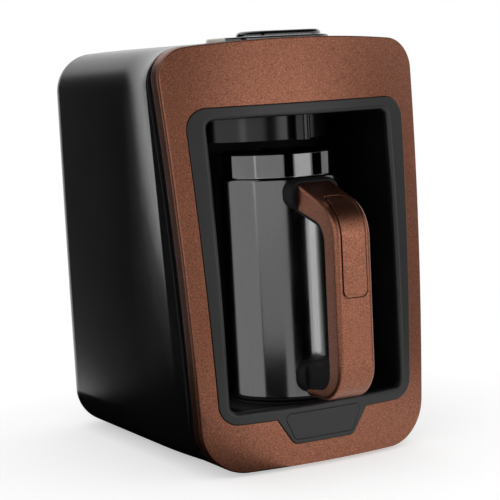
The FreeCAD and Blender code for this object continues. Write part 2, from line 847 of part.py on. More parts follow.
# Pot: jacket, steel vessel, heater, base, collar
def make_jacket():
    shoulder = 2.6
    tube = pot_rod(pot_radius, jacket_low, jacket_high)
    top_edge = [edge for edge in tube.Edges if edge.CenterOfMass.z > jacket_high - 0.01 and len(edge.Vertexes) == 1]
    tube = tube.makeFillet(shoulder - 0.3, top_edge)
    bottom_edge = [edge for edge in tube.Edges if edge.CenterOfMass.z < jacket_low + 0.01 and len(edge.Vertexes) == 1]
    tube = tube.makeFillet(0.8, bottom_edge)
    inside = pot_rod(pot_radius - jacket_wall, jacket_low - 1, jacket_high - 3.0)
    mouth = pot_rod(collar_radius - collar_wall + 0.02, jacket_high - 5, jacket_high + 5)
    return tube.cut(inside).cut(mouth)


parts["pot_jacket"] = make_jacket()

vessel_radius = collar_radius - collar_wall
vessel_top = jacket_high + 6.0
floor_round = 5.0
vessel = pot_rod(vessel_radius, vessel_floor - vessel_wall, vessel_top)
vessel = vessel.makeFillet(floor_round, [edge for edge in vessel.Edges
                                         if abs(edge.CenterOfMass.z - vessel_floor + vessel_wall) < 0.01
                                         and len(edge.Vertexes) == 1])
vessel_inside = pot_rod(vessel_radius - vessel_wall, vessel_floor, vessel_top + 5)
vessel_inside = vessel_inside.makeFillet(floor_round - vessel_wall, [
    edge for edge in vessel_inside.Edges
    if abs(edge.CenterOfMass.z - vessel_floor) < 0.01 and len(edge.Vertexes) == 1])
parts["pot_vessel"] = vessel.cut(vessel_inside)

collar = turned([
    (vessel_radius + 0.02, jacket_high + 0.25),
    (collar_radius, jacket_high + 0.25),
    (collar_radius, collar_high - 1.2),
    (collar_radius - 0.8, collar_high),
    (collar_radius - collar_wall - 0.6, collar_high),
    (collar_radius - collar_wall - 1.0, collar_high - 0.6),
    (collar_radius - collar_wall - 1.0, vessel_top + 0.3),
    (vessel_radius + 0.02, vessel_top + 0.3),
])
parts["pot_collar"] = collar

base_lip = 1.6
base_inner_radius = pot_radius - jacket_wall - 0.1
pot_base = turned([
    (0, pot_base_low),
    (pot_base_radius - 1.0, pot_base_low),
    (pot_base_radius, pot_base_low + 1.0),
    (pot_base_radius, jacket_low - 0.05),
    (base_inner_radius, jacket_low + 0.9),
    (base_inner_radius, jacket_low + 6.0),
    (base_inner_radius - base_lip, jacket_low + 6.0),
    (base_inner_radius - base_lip, pot_base_low + 2.2),
    (0, pot_base_low + 2.2),
])
parts["pot_base"] = pot_base

heater_low = vessel_floor - vessel_wall - 3.0
heater = pot_rod(27.0, heater_low, vessel_floor - vessel_wall)
heater_rail = Part.makeTorus(20.0, 2.2, Vec(0, pot_y, heater_low - 0.6))
cold_pins = [rod(1.6, x, pot_y + 20.0, heater_low - 6.0, heater_low) for x in (-6.0, 6.0)]
parts["heating_element"] = joined([heater, heater_rail] + cold_pins)
thermostat = pot_rod(7.0, heater_low - 5.0, heater_low)
parts["thermostat"] = thermostat.fuse(box(-5, 5, pot_y - 2, pot_y + 2, heater_low - 7.5, heater_low - 4.5))
seal_outer = vessel_radius + 0.02
seal = turned([
    (vessel_radius + 0.02, vessel_floor + 8.0),
    (pot_radius - jacket_wall - 0.02, vessel_floor + 8.0),
    (pot_radius - jacket_wall - 0.02, vessel_floor + 12.0),
    (vessel_radius + 0.02, vessel_floor + 12.0),
])
parts["vessel_seal"] = seal


# Plug at the back of the pot: housing and three flat blades
plug_face_y = pot_y + pot_radius + plug_reach


def make_plug():
    body = box(-plug_half_width, plug_half_width, pot_y + pot_radius - 8, plug_face_y, plug_low, plug_high)
    body = body.makeFillet(4.0, long_edges(body, plug_reach + 8))
    face_edges = [edge for edge in body.Edges if abs(edge.CenterOfMass.y - plug_face_y) < 0.01]
    body = body.makeFillet(1.5, face_edges)
    return body.cut(pot_rod(pot_radius + 0.03, plug_low - 5, plug_high + 5))


parts["plug_housing"] = make_plug()
blades = []
for x in blade_xs:
    blade = box(x - blade_thick / 2, x + blade_thick / 2, pot_y + pot_radius - 4,
                plug_face_y + blade_reach, blade_z - blade_height / 2, blade_z + blade_height / 2)
    tip_edges = [edge for edge in blade.Edges
                 if abs(edge.CenterOfMass.y - plug_face_y - blade_reach) < 0.01 and edge.Length > 2]
    blades.append(blade.makeFillet(0.5, tip_edges))
parts["plug_blades"] = Part.makeCompound(blades)
for blade in blades:
    parts["plug_housing"] = parts["plug_housing"].cut(blade)
    parts["pot_jacket"] = parts["pot_jacket"].cut(blade)


# Handle: bronze strap, black inner liner, thumb pad, two mounts and screws
strap_root_y = pot_front_y - 6.0


def strap_outline(extra):
    """The strap's side outline, its inner side moved in by an extra depth."""
    inner_y = handle_y + handle_depth + extra
    root_y = pot_front_y + 3.0
    return [
        (root_y, handle_root_high, 0),
        (handle_y - handle_lean, handle_bend_high, handle_bend_radius),
        (handle_y + handle_lean, handle_bottom, handle_bend_radius),
        (root_y, handle_bottom, 0),
        (root_y, handle_inner_foot + extra, 0),
        (inner_y + handle_lean, handle_inner_low + extra, handle_inner_radius),
        (inner_y - handle_lean, handle_inner_bend - extra, handle_inner_radius),
        (root_y, handle_inner_root - extra, 0),
    ]


def make_strap():
    strap = side_bar(strap_outline(0), handle_half_width)
    outer_edges = []
    for edge in strap.Edges:
        middle = edge.CenterOfMass
        on_side = abs(abs(middle.x) - handle_half_width) < 0.01
        outside = middle.y < handle_y + 7.0 or middle.z > handle_inner_root + 8.0 or middle.z < handle_inner_foot - 2.0
        if on_side and outside and middle.y < pot_front_y + 2.0:
            outer_edges.append(edge)
    strap = strap.makeFillet(handle_edge, outer_edges)
    ends = box(-40, 40, strap_root_y, pot_front_y + 40, 0, 300)
    return strap.cut(ends)


strap = make_strap()
liner_bar = side_bar(strap_outline(handle_liner_depth), handle_half_width - 0.8)
liner_keep = side_bar(strap_outline(0.02), handle_half_width + 5)
handle_liner = liner_bar.cut(liner_keep).cut(box(-40, 40, pot_front_y - 1.0, pot_front_y + 40, 0, 300))
parts["handle_liner"] = handle_liner


mount_corner = 7.5
mount_edge = 2.0


def make_mount(z0, z1, half_width, reach):
    """A rounded block that carries one end of the strap on the pot."""
    block = front_bar([
        (-half_width, z0, mount_corner),
        (half_width, z0, mount_corner),
        (half_width, z1, mount_corner),
        (-half_width, z1, mount_corner),
    ], pot_front_y - reach, pot_front_y + 12.0)
    front_edges = [edge for edge in block.Edges
                   if abs(edge.CenterOfMass.y - pot_front_y + reach) < 0.01]
    block = block.makeFillet(mount_edge, front_edges)
    return block.cut(pot_rod(pot_radius + 0.03, 0, 300))


upper_mount = make_mount(handle_inner_root - 2.4, handle_root_high - 1.0, 16.4, 6.0)
lower_mount = make_mount(handle_inner_foot - 2.0, foot_height + 61.5, 14.0, 6.0)
lower_fill = side_bar([
    (pot_front_y - 4.0, handle_inner_foot + 0.6, 0),
    (pot_front_y - 4.0, foot_height + 60.5, 0),
    (handle_y + handle_depth + 1.0, foot_height + 60.5, 0),
    (handle_y + handle_depth + 1.0, handle_inner_low, 0),
], handle_half_width - 1.2)
lower_mount = joined([lower_mount, lower_fill]).cut(side_bar(strap_outline(0.02), 40).cut(
    box(-50, 50, pot_front_y - 6.0, pot_front_y + 40, 0, 300))).cut(handle_liner)
parts["upper_mount"] = upper_mount
parts["lower_mount"] = lower_mount
parts["handle_liner"] = handle_liner.cut(upper_mount)

pad_half = 7.6
pad_low = foot_height + 102.6
pad_high = foot_height + 158.0
pad_gap = 0.7


def pad_bar(grow):
    """The thumb pad's front outline, as a bar through the strap's outer face."""
    return front_bar([
        (-pad_half - grow, pad_low - grow, 4.0),
        (pad_half + grow, pad_low - grow, 4.0),
        (pad_half + grow, pad_high + grow, 4.0),
        (-pad_half - grow, pad_high + grow, 4.0),
    ], handle_y - 5.0, handle_y + 30.0)


def under_strap(depth):
    """A bar with the strap's outer side outline, moved inwards by a depth."""
    root_y = pot_front_y + 3.0
    bend_y = handle_y - handle_lean
    slope = (handle_root_high - handle_bend_high) / (root_y - bend_y)
    slant = math.sqrt(1 + slope ** 2)
    radius = handle_bend_radius - depth
    return side_bar([
        (root_y, handle_root_high - depth * slant, 0),
        (bend_y + depth, handle_bend_high - depth * (slant - slope), radius),
        (handle_y + handle_lean + depth, handle_bottom + depth, radius),
        (root_y, handle_bottom + depth, 0),
    ], 2 * handle_half_width)


def strap_skin(near, far):
    """The layer of the strap between two depths under its outer side."""
    return under_strap(near).cut(under_strap(far))


pad_depth = 2.0
pad_proud = 0.5
pad_recess = pad_bar(pad_gap).common(strap_skin(-2.0, pad_depth))
parts["handle_strap"] = strap.cut(pad_recess)
parts["thumb_pad"] = pad_bar(0).common(strap_skin(-pad_proud, pad_depth - 0.05))

screw_z = [handle_inner_root + 7.0, foot_height + 52.0]
parts["handle_screws"] = Part.makeCompound(
    [rod_y(1.8, 0, z, pot_front_y - 5.0, pot_front_y + 3.2).fuse(
        rod_y(3.2, 0, z, pot_front_y + 1.6, pot_front_y + 3.4)).removeSplitter() for z in screw_z])
for screw in parts["handle_screws"].Solids:
    parts["upper_mount"] = parts["upper_mount"].cut(screw)
    parts["lower_mount"] = parts["lower_mount"].cut(screw)
    parts["pot_jacket"] = parts["pot_jacket"].cut(screw)


os.makedirs("parts", exist_ok=True)
for name, shape in parts.items():
    shape.translate(Vec(0, -origin_y, 0))
    solids = shape.Solids
    print(name, "solids", len(solids), "valid", shape.isValid(), "volume", round(shape.Volume))
    whole = solids[0] if len(solids) == 1 else Part.makeCompound(solids)
    whole.exportStep("parts/" + name + ".step")
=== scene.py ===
"""An electric Turkish coffee maker: its finishes, and the studio that it stands in."""

import logging
import math
from dataclasses import dataclass, field
from enum import Enum

import bpy
from mathutils import Matrix, Vector


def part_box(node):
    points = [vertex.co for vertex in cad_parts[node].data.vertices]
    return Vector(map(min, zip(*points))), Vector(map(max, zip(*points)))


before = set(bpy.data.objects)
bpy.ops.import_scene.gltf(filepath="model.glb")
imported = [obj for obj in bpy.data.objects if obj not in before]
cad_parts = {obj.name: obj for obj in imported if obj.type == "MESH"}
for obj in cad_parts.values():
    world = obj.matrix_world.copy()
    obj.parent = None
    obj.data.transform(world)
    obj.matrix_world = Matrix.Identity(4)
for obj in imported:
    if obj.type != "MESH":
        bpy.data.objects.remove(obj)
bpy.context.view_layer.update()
LOG = logging.getLogger("coffee_maker")
POT_AXIS = (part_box("pot_base")[0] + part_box("pot_base")[1]) / 2 * Vector((1, 1, 0))
FLARE_FOOT = Vector((-0.08, -0.03, 0.0))

Colour = tuple[float, float, float]
Socket = bpy.types.NodeSocket
Node = bpy.types.Node


class Lay(Enum):
    """The way that a metal's polishing marks run."""

    ROUND = (0.15, 0.15, 3.0)
    UPRIGHT = (3.0, 3.0, 0.12)
    EVEN = (1.0, 1.0, 1.0)


class Surface:
    """One material under construction: its nodes, ending in a Principled shader."""

    def __init__(self, name: str) -> None:
        """Makes an empty material with its shader and output."""
        self.material = bpy.data.materials.new(name)
        self.material.use_nodes = True
        self.tree = self.material.node_tree
        self.tree.nodes.clear()
        self.shader = self.add("ShaderNodeBsdfPrincipled")
        self.output = self.add("ShaderNodeOutputMaterial")
        self.join(self.shader.outputs["BSDF"], self.output.inputs["Surface"])
        self.place = self.add("ShaderNodeTexCoord").outputs["Object"]

    def add(self, kind: str, **settings: object) -> Node:
        """Adds a node.

        Args:
            kind: The node's type name.
            settings: Values for the node's own properties.

        Returns:
            The new node.
        """
        node = self.tree.nodes.new(kind)
        for key, value in settings.items():
            setattr(node, key, value)
        return node

    def join(self, source: Socket, target: Socket) -> None:
        """Links two sockets."""
        self.tree.links.new(source, target)

    def feed(self, socket: Socket, value: object) -> None:
        """Links a socket's source, or sets its value.

        Args:
            socket: The input to fill.
            value: Another socket, a number or a colour.
        """
        if isinstance(value, bpy.types.NodeSocket):
            self.join(value, socket)
        elif isinstance(value, tuple) and socket.type == "RGBA":
            socket.default_value = (*value, 1.0)
        else:
            socket.default_value = value

    def stretched(self, scale: tuple[float, float, float]) -> Socket:
        """Object coordinates scaled along each axis.

        Args:
            scale: The factor on each axis.

        Returns:
            The scaled coordinates.
        """
        node = self.add("ShaderNodeVectorMath", operation="MULTIPLY")
        self.join(self.place, node.inputs[0])
        node.inputs[1].default_value = scale
        return node.outputs[0]

    def noise(self, size: float, detail: float = 2.0, where: Socket | None = None) -> Socket:
        """Cloudy noise.

        Args:
            size: The width of one blotch, in metres.
            detail: How many finer layers are added.
            where: Coordinates, if not the object's own.

        Returns:
            A value from 0 to 1.
        """
        node = self.add("ShaderNodeTexNoise", noise_dimensions="3D")
        self.join(where or self.place, node.inputs["Vector"])
        node.inputs["Scale"].default_value = 1.0 / size
        node.inputs["Detail"].default_value = detail
        return node.outputs["Fac"]

    def cells(self, size: float) -> Node:
        """Random cells, as flakes in a paint.

        Args:
            size: The width of one cell, in metres.

        Returns:
            The Voronoi node.
        """
        node = self.add("ShaderNodeTexVoronoi", feature="F1")
        self.join(self.place, node.inputs["Vector"])
        node.inputs["Scale"].default_value = 1.0 / size
        return node

    def span(
        self, value: Socket, low: float, high: float, start: float = 0.0, end: float = 1.0
    ) -> Socket:
        """Maps a value's range to another.

        Args:
            value: What is mapped.
            low: The result at start.
            high: The result at end.
            start: The value that gives low.
            end: The value that gives high.

        Returns:
            The mapped value.
        """
        node = self.add("ShaderNodeMapRange")
        self.join(value, node.inputs["Value"])
        limits = {"From Min": start, "From Max": end, "To Min": low, "To Max": high}
        for name, number in limits.items():
            node.inputs[name].default_value = number
        return node.outputs["Result"]

    def blend(self, share: object, first: object, second: object) -> Socket:
        """Mixes two colours.

        Args:
            share: The second colour's share.
            first: A colour or a socket.
            second: A colour or a socket.

        Returns:
            The mixed colour.
        """
        node = self.add("ShaderNodeMix", data_type="RGBA")
        self.feed(node.inputs[0], share)
        self.feed(node.inputs[6], first)
        self.feed(node.inputs[7], second)
        return node.outputs[2]

    def sum(self, first: object, second: object, operation: str = "ADD") -> Socket:
        """Joins two numbers by arithmetic.

        Args:
            first: A number or a socket.
            second: A number or a socket.
            operation: Blender's name for the arithmetic.

        Returns:
            The result.
        """
        node = self.add("ShaderNodeMath", operation=operation)
        self.feed(node.inputs[0], first)
        self.feed(node.inputs[1], second)
        return node.outputs[0]

    def edges(self, radius: float) -> tuple[Socket, Socket]:
        """Softened normals at sharp edges, and where those edges are.

        Args:
            radius: The width of the softened edge, in metres.

        Returns:
            The softened normal and a mask that is 1 on an edge.
        """
        bevel = self.add("ShaderNodeBevel", samples=4)
        bevel.inputs["Radius"].default_value = radius
        geometry = self.add("ShaderNodeNewGeometry")
        dot = self.add("ShaderNodeVectorMath", operation="DOT_PRODUCT")
        self.join(bevel.outputs["Normal"], dot.inputs[0])
        self.join(geometry.outputs["Normal"], dot.inputs[1])
        return bevel.outputs["Normal"], self.span(dot.outputs["Value"], 1.0, 0.0, 0.85, 1.0)

    def bump(self, height: Socket, depth: float, normal: Socket | None = None) -> Socket:
        """Turns a height into a normal.

        Args:
            height: The height, from 0 to 1.
            depth: The height's size in metres.
            normal: The normal below it.

        Returns:
            The bumped normal.
        """
        node = self.add("ShaderNodeBump")
        node.inputs["Strength"].default_value = 1.0
        node.inputs["Distance"].default_value = depth
        self.join(height, node.inputs["Height"])
        if normal is not None:
            self.join(normal, node.inputs["Normal"])
        return node.outputs["Normal"]

    def set(self, **values: object) -> None:
        """Fills the shader's inputs, with underscores for spaces in their names."""
        for key, value in values.items():
            self.feed(self.shader.inputs[key.replace("_", " ")], value)


@dataclass(frozen=True)
class Finish:
    """A finish that is made into one material the first time it is used."""

    name: str

    def material(self) -> bpy.types.Material:
        """The finish's material, made once."""
        found = bpy.data.materials.get(f"finish_{self.name}")
        return found or self.made(Surface(f"finish_{self.name}")).material

    def made(self, surface: Surface) -> Surface:
        """Wires the finish's nodes; each finish has its own."""
        return surface


@dataclass(frozen=True)
class MouldedPlastic(Finish):
    """Moulded plastic with spark-eroded grain, faint flow clouds and rubbed edges."""

    colour: Colour
    roughness: float
    grain: float = 0.0004
    grain_depth: float = 0.000012
    specular: float = 0.5
    coat: float = 0.0
    coat_roughness: float = 0.05
    edge: float = 0.0005
    edge_lift: float = 1.8
    cloud: float = 0.035
    cloud_contrast: float = 0.18
    scuff: float = 0.004
    scuff_reach: float = 0.18

    def made(self, surface: Surface) -> Surface:
        """Wires grain, clouds, scuffs and edge wear.

        Args:
            surface: The empty material.

        Returns:
            The finished material.
        """
        cloud = surface.noise(self.cloud, 3.0)
        grain = surface.noise(self.grain, 2.0)
        scuff = surface.noise(self.scuff, 4.0, surface.stretched((1.0, 1.0, self.scuff_reach)))
        normal, worn = surface.edges(self.edge)
        darker = tuple(channel * (1.0 - self.cloud_contrast) for channel in self.colour)
        lighter = tuple(channel * (1.0 + self.cloud_contrast) for channel in self.colour)
        rubbed = tuple(min(1.0, channel * self.edge_lift + 0.004) for channel in self.colour)
        body = surface.blend(surface.span(cloud, 0.0, 1.0, 0.3, 0.7), darker, lighter)
        wear = surface.sum(worn, surface.span(scuff, 0.0, 1.0, 0.35, 0.7), "MULTIPLY")
        cloud_shade = surface.span(cloud, -0.012, 0.012)
        scuff_shade = surface.span(scuff, -0.008, 0.018, 0.35, 0.75)
        shade = surface.sum(cloud_shade, scuff_shade)
        surface.set(
            Base_Color=surface.blend(surface.sum(wear, 0.6, "MULTIPLY"), body, rubbed),
            Roughness=surface.sum(shade, self.roughness),
            Specular_IOR_Level=self.specular,
            Coat_Weight=self.coat,
            Coat_Roughness=self.coat_roughness,
            Normal=surface.bump(grain, self.grain_depth, normal),
        )
        return surface


@dataclass(frozen=True)
class PearlPaint(Finish):
    """Metallic paint: flakes of two sizes in a clear satin coat."""

    shade: Colour
    light: Colour
    flake: float = 0.0007
    fine_flake: float = 0.0004
    metal: float = 1.0
    roughness: float = 0.38
    edge: float = 0.0006
    coarse_share: float = 0.62
    polish: float = 1.35

    def made(self, surface: Surface) -> Surface:
        """Wires both flake layers, the mottle and the edge sheen.

        Args:
            surface: The empty material.

        Returns:
            The finished material.
        """
        coarse = surface.noise(self.flake, 1.5)
        fine = surface.cells(self.fine_flake)
        tone = surface.add("ShaderNodeSeparateColor")
        surface.join(fine.outputs["Color"], tone.inputs[0])
        sparkle = surface.span(tone.outputs[0], 0.0, 1.0, 0.25, 1.0)
        mottle = surface.span(coarse, 0.0, 1.0, 0.36, 0.64)
        coarse_part = surface.sum(mottle, self.coarse_share, "MULTIPLY")
        fine_part = surface.sum(sparkle, 1.0 - self.coarse_share, "MULTIPLY")
        mix = surface.sum(coarse_part, fine_part)
        normal, worn = surface.edges(self.edge)
        body = surface.blend(mix, self.shade, self.light)
        polished = tuple(min(1.0, channel * self.polish) for channel in self.light)
        coarse_height = surface.sum(coarse, 0.6, "MULTIPLY")
        fine_height = surface.sum(tone.outputs[1], 0.4, "MULTIPLY")
        height = surface.sum(coarse_height, fine_height)
        surface.set(
            Base_Color=surface.blend(surface.sum(worn, 0.35, "MULTIPLY"), body, polished),
            Metallic=self.metal,
            Roughness=surface.span(mix, self.roughness + 0.06, self.roughness - 0.05),
            Coat_Weight=0.15,
            Coat_Roughness=0.25,
            Normal=surface.bump(height, 0.00003, normal),
        )
        return surface


@dataclass(frozen=True)
class Metal(Finish):
    """Bare or plated metal with polishing marks along its lay."""

    colour: Colour
    roughness: float
    lay: Lay = Lay.EVEN
    mark: float = 0.0006
    mark_depth: float = 0.000006
    edge: float = 0.0003

    def made(self, surface: Surface) -> Surface:
        """Wires polishing marks, tarnish clouds and bright edges.

        Args:
            surface: The empty material.

        Returns:
            The finished material.
        """
        marks = surface.noise(self.mark, 3.0, surface.stretched(self.lay.value))
        tarnish = surface.noise(0.012, 3.0)
        normal, worn = surface.edges(self.edge)
        dull = tuple(channel * 0.8 for channel in self.colour)
        body = surface.blend(surface.span(tarnish, 0.0, 0.6, 0.35, 0.7), self.colour, dull)
        surface.set(
            Base_Color=surface.blend(surface.sum(worn, 0.5, "MULTIPLY"), body, self.colour),
            Metallic=1.0,
            Roughness=surface.sum(surface.span(marks, -0.04, 0.06), self.roughness),
            Normal=surface.bump(marks, self.mark_depth, normal),
        )
        return surface


@dataclass(frozen=True)
class StoveCoat(Finish):
    """A satin baked coat on turned steel, with its faint upright lay."""

    colour: Colour
    roughness: float
    metal: float = 0.0
    specular: float = 0.5

    def made(self, surface: Surface) -> Surface:
        """Wires the lay, the coat's orange peel and hand-worn patches.

        Args:
            surface: The empty material.

        Returns:
            The finished material.
        """
        lay = surface.noise(0.0012, 3.0, surface.stretched(Lay.UPRIGHT.value))
        peel = surface.noise(0.0011, 2.0)
        patch = surface.noise(0.03, 3.0)
        normal, worn = surface.edges(0.0005)
        lighter = tuple(channel * 1.12 for channel in self.colour)
        rubbed = tuple(min(1.0, channel * 1.6 + 0.01) for channel in self.colour)
        body = surface.blend(surface.span(lay, 0.0, 1.0, 0.3, 0.7), self.colour, lighter)
        height = surface.sum(surface.sum(lay, 0.5, "MULTIPLY"), surface.sum(peel, 0.5, "MULTIPLY"))
        surface.set(
            Base_Color=surface.blend(surface.sum(worn, 0.4, "MULTIPLY"), body, rubbed),
            Metallic=self.metal,
            Specular_IOR_Level=self.specular,
            Roughness=surface.sum(surface.span(patch, -0.02, 0.03, 0.3, 0.7), self.roughness),
            Normal=surface.bump(height, 0.000008, normal),
        )
        return surface


@dataclass(frozen=True)
class SoftRubber(Finish):
    """Matt rubber with bloom and fine pores."""

    colour: Colour

    def made(self, surface: Surface) -> Surface:
        """Wires pores and bloom.

        Args:
            surface: The empty material.

        Returns:
            The finished material.
        """
        pores = surface.cells(0.0005).outputs["Distance"]
        bloom = surface.noise(0.006, 4.0)
        pale = tuple(channel * 1.8 + 0.006 for channel in self.colour)
        normal, _ = surface.edges(0.0006)
        surface.set(
            Base_Color=surface.blend(surface.span(bloom, 0.0, 0.7, 0.35, 0.75), self.colour, pale),
            Roughness=surface.span(bloom, 0.72, 0.9),
            Sheen_Weight=0.12,
            Normal=surface.bump(pores, 0.00002, normal),
        )
        return surface


@dataclass(frozen=True)
class CircuitBoard(Finish):
    """Solder-masked laminate with copper tracks showing through as lighter lines."""

    mask: Colour
    track: Colour
    pitch: float = 0.0026

    def made(self, surface: Surface) -> Surface:
        """Wires tracks, laminate weave and gloss.

        Args:
            surface: The empty material.

        Returns:
            The finished material.
        """
        tracks = surface.add("ShaderNodeTexBrick", offset=0.5, squash=1.0)
        surface.join(surface.place, tracks.inputs["Vector"])
        tracks.inputs["Scale"].default_value = 1.0 / self.pitch
        tracks.inputs["Mortar Size"].default_value = 0.09
        tracks.inputs["Brick Width"].default_value = 2.4
        weave = surface.noise(0.0007, 2.0)
        flat = surface.blend(surface.span(weave, 0.0, 0.35), self.mask, self.track)
        surface.set(
            Base_Color=surface.blend(tracks.outputs["Fac"], flat, self.track),
            Roughness=surface.span(weave, 0.28, 0.42),
            Normal=surface.bump(tracks.outputs["Fac"], 0.00004),
        )
        return surface


@dataclass(frozen=True)
class MilkyPlastic(Finish):
    """Milky plastic that lets light in and scatters it."""

    colour: Colour
    depth: float = 0.0015

    def made(self, surface: Surface) -> Surface:
        """Wires the cloudy body and its soft gloss.

        Args:
            surface: The empty material.

        Returns:
            The finished material.
        """
        cloud = surface.noise(0.003, 3.0)
        warmer = (self.colour[0], self.colour[1] * 0.93, self.colour[2] * 0.86)
        normal, _ = surface.edges(0.0004)
        surface.set(
            Base_Color=surface.blend(cloud, self.colour, warmer),
            Subsurface_Weight=0.35,
            Subsurface_Scale=self.depth,
            Roughness=surface.span(cloud, 0.22, 0.36),
            Coat_Weight=0.3,
            Normal=surface.bump(cloud, 0.00002, normal),
        )
        return surface


HOUSING = MouldedPlastic("housing_satin", (0.0035, 0.0035, 0.004), 0.21, specular=0.36)
RECESS = MouldedPlastic("recess_matt", (0.0025, 0.0025, 0.0026), 0.62, specular=0.22, edge_lift=1.2)
BEZEL = MouldedPlastic("bezel_satin", (0.011, 0.011, 0.011), 0.4, specular=0.5, edge=0.0008)
GLOSS = MouldedPlastic("gloss_black", (0.006, 0.006, 0.0065), 0.06, grain=0.002, grain_depth=0.000001,
                       coat=1.0, coat_roughness=0.03)
BRONZE = PearlPaint("bronze_pearl", shade=(0.165, 0.06, 0.034), light=(0.395, 0.16, 0.098))
POT_COAT = StoveCoat("pot_satin", (0.108, 0.108, 0.109), 0.14, metal=1.0)
DARK_CHROME = Metal("dark_chrome", (0.125, 0.125, 0.128), 0.05, mark=0.002, mark_depth=0.0000006)
CHROME = Metal("chrome", (0.86, 0.86, 0.87), 0.08, mark=0.0008, mark_depth=0.000001)
STEEL = Metal("steel", (0.62, 0.61, 0.59), 0.24, Lay.ROUND)
BRASS = Metal("brass", (0.72, 0.49, 0.19), 0.26)
RUBBER = SoftRubber("rubber", (0.012, 0.012, 0.012))
BOARD = CircuitBoard("circuit_board", (0.008, 0.09, 0.035), (0.03, 0.22, 0.08))
COMPONENT = MouldedPlastic("component_dark", (0.016, 0.016, 0.018), 0.45)
MILKY = MilkyPlastic("milky_lens", (0.74, 0.72, 0.66))


@dataclass
class SubAssembly:
    """A sub-assembly whose solids keep their shape and get a finish."""

    title: str
    finishes: dict[str, Finish] = field(default_factory=dict)

    def dress(self) -> None:
        """Gives each solid its finish and reports it."""
        for node, finish in self.finishes.items():
            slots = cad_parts[node].data.materials
            slots.clear()
            slots.append(finish.material())
            LOG.info("%s: %s wears %s", self.title, node, finish.name)


@dataclass
class Housing(SubAssembly):
    """The deep black tub, its base and its feet."""

    title: str = "housing"
    finishes: dict[str, Finish] = field(default_factory=lambda: {
        "rear_shell": HOUSING, "front_carrier": RECESS, "base_cover": HOUSING, "feet": RUBBER,
        "base_screws": STEEL, "cord_gland": RUBBER,
    })


@dataclass
class FrontPanel(SubAssembly):
    """The bronze face with its lip, the black bezel and its bare plate."""

    title: str = "front panel"
    finishes: dict[str, Finish] = field(default_factory=lambda: {
        "front_frame": BRONZE, "front_fascia": BRONZE, "window_bezel": BEZEL, "badge_plate": BEZEL,
    })


@dataclass
class PotBay(SubAssembly):
    """The bay that the pot stands in, with its hood, sensor, stand and socket."""

    title: str = "pot bay"
    finishes: dict[str, Finish] = field(default_factory=lambda: {
        "cavity_liner": RECESS, "ceiling_hood": HOUSING, "steam_sensor": GLOSS, "sensor_sleeve": HOUSING,
        "sensor_lens": GLOSS, "pot_stand": RECESS, "socket_housing": RECESS, "socket_contacts": BRASS,
    })


@dataclass
class TopControl(SubAssembly):
    """The raised start control on the top."""

    title: str = "top control"
    finishes: dict[str, Finish] = field(default_factory=lambda: {
        "control_island": GLOSS, "light_window": MILKY, "chrome_trim": CHROME, "start_button": GLOSS,
        "button_spring": STEEL,
    })


@dataclass
class Electronics(SubAssembly):
    """The two boards and what is soldered or screwed to them."""

    title: str = "electronics"
    finishes: dict[str, Finish] = field(default_factory=lambda: {
        "power_board": BOARD, "control_board": BOARD, "transformer": COMPONENT, "power_relay": COMPONENT,
        "capacitor": COMPONENT, "terminal_block": COMPONENT, "tact_switch": COMPONENT, "buzzer": COMPONENT,
        "indicator_lamp": MILKY, "board_screws": STEEL, "power_screws": STEEL,
    })


@dataclass
class Pot(SubAssembly):
    """The pot: coat, collar, foot, vessel, heater and plug."""

    title: str = "pot"
    finishes: dict[str, Finish] = field(default_factory=lambda: {
        "pot_jacket": POT_COAT, "pot_collar": DARK_CHROME, "pot_base": RECESS, "pot_vessel": STEEL,
        "heating_element": STEEL, "thermostat": COMPONENT, "vessel_seal": RUBBER, "plug_housing": RECESS,
        "plug_blades": BRASS,
    })


@dataclass
class Handle(SubAssembly):
    """The looped bronze handle with its thumb pad and black liner."""

    title: str = "handle"
    finishes: dict[str, Finish] = field(default_factory=lambda: {
        "handle_strap": BRONZE, "thumb_pad": BRONZE, "handle_liner": RECESS, "upper_mount": RECESS,
        "lower_mount": RECESS, "handle_screws": STEEL,
    })


def toward(azimuth: float, distance: float, height: float) -> Vector:
    """A place round the pot, where azimuth 0 is straight in front and 90 is to the right.

    Args:
        azimuth: The bearing from the pot, in degrees.
        distance: The distance from the pot, in metres.
        height: The height above the floor, in metres.

    Returns:
        The place.
    """
    angle = math.radians(azimuth)
    return POT_AXIS + Vector((math.sin(angle) * distance, -math.cos(angle) * distance, height))


@dataclass
class SoftBox:
    """A soft box that stands upright and faces the pot across a span of bearings."""

    name: str
    first: float
    last: float
    distance: float
    low: float
    high: float
    level: float
    lights_matt: bool = True

    def build(self) -> None:
        """Adds the lamp, unseen by the camera, at a level where 1 is white."""
        half = math.radians(self.last - self.first) / 2
        middle = (self.first + self.last) / 2
        data = bpy.data.lights.new(self.name, "AREA")
        data.shape = "RECTANGLE"
        data.size = 2 * self.distance * math.tan(half)
        data.size_y = self.high - self.low
        data.energy = self.level * math.pi * data.size * data.size_y
        lamp = bpy.data.objects.new(self.name, data)
        lamp.location = toward(middle, self.distance, (self.low + self.high) / 2)
        inward = toward(middle, 0.0, 0.0) - toward(middle, 1.0, 0.0)
        lamp.rotation_euler = inward.to_track_quat("-Z", "Y").to_euler()
        lamp.visible_camera = False
        lamp.visible_diffuse = self.lights_matt
        bpy.context.scene.collection.objects.link(lamp)
        LOG.info("soft box %s", self.name)


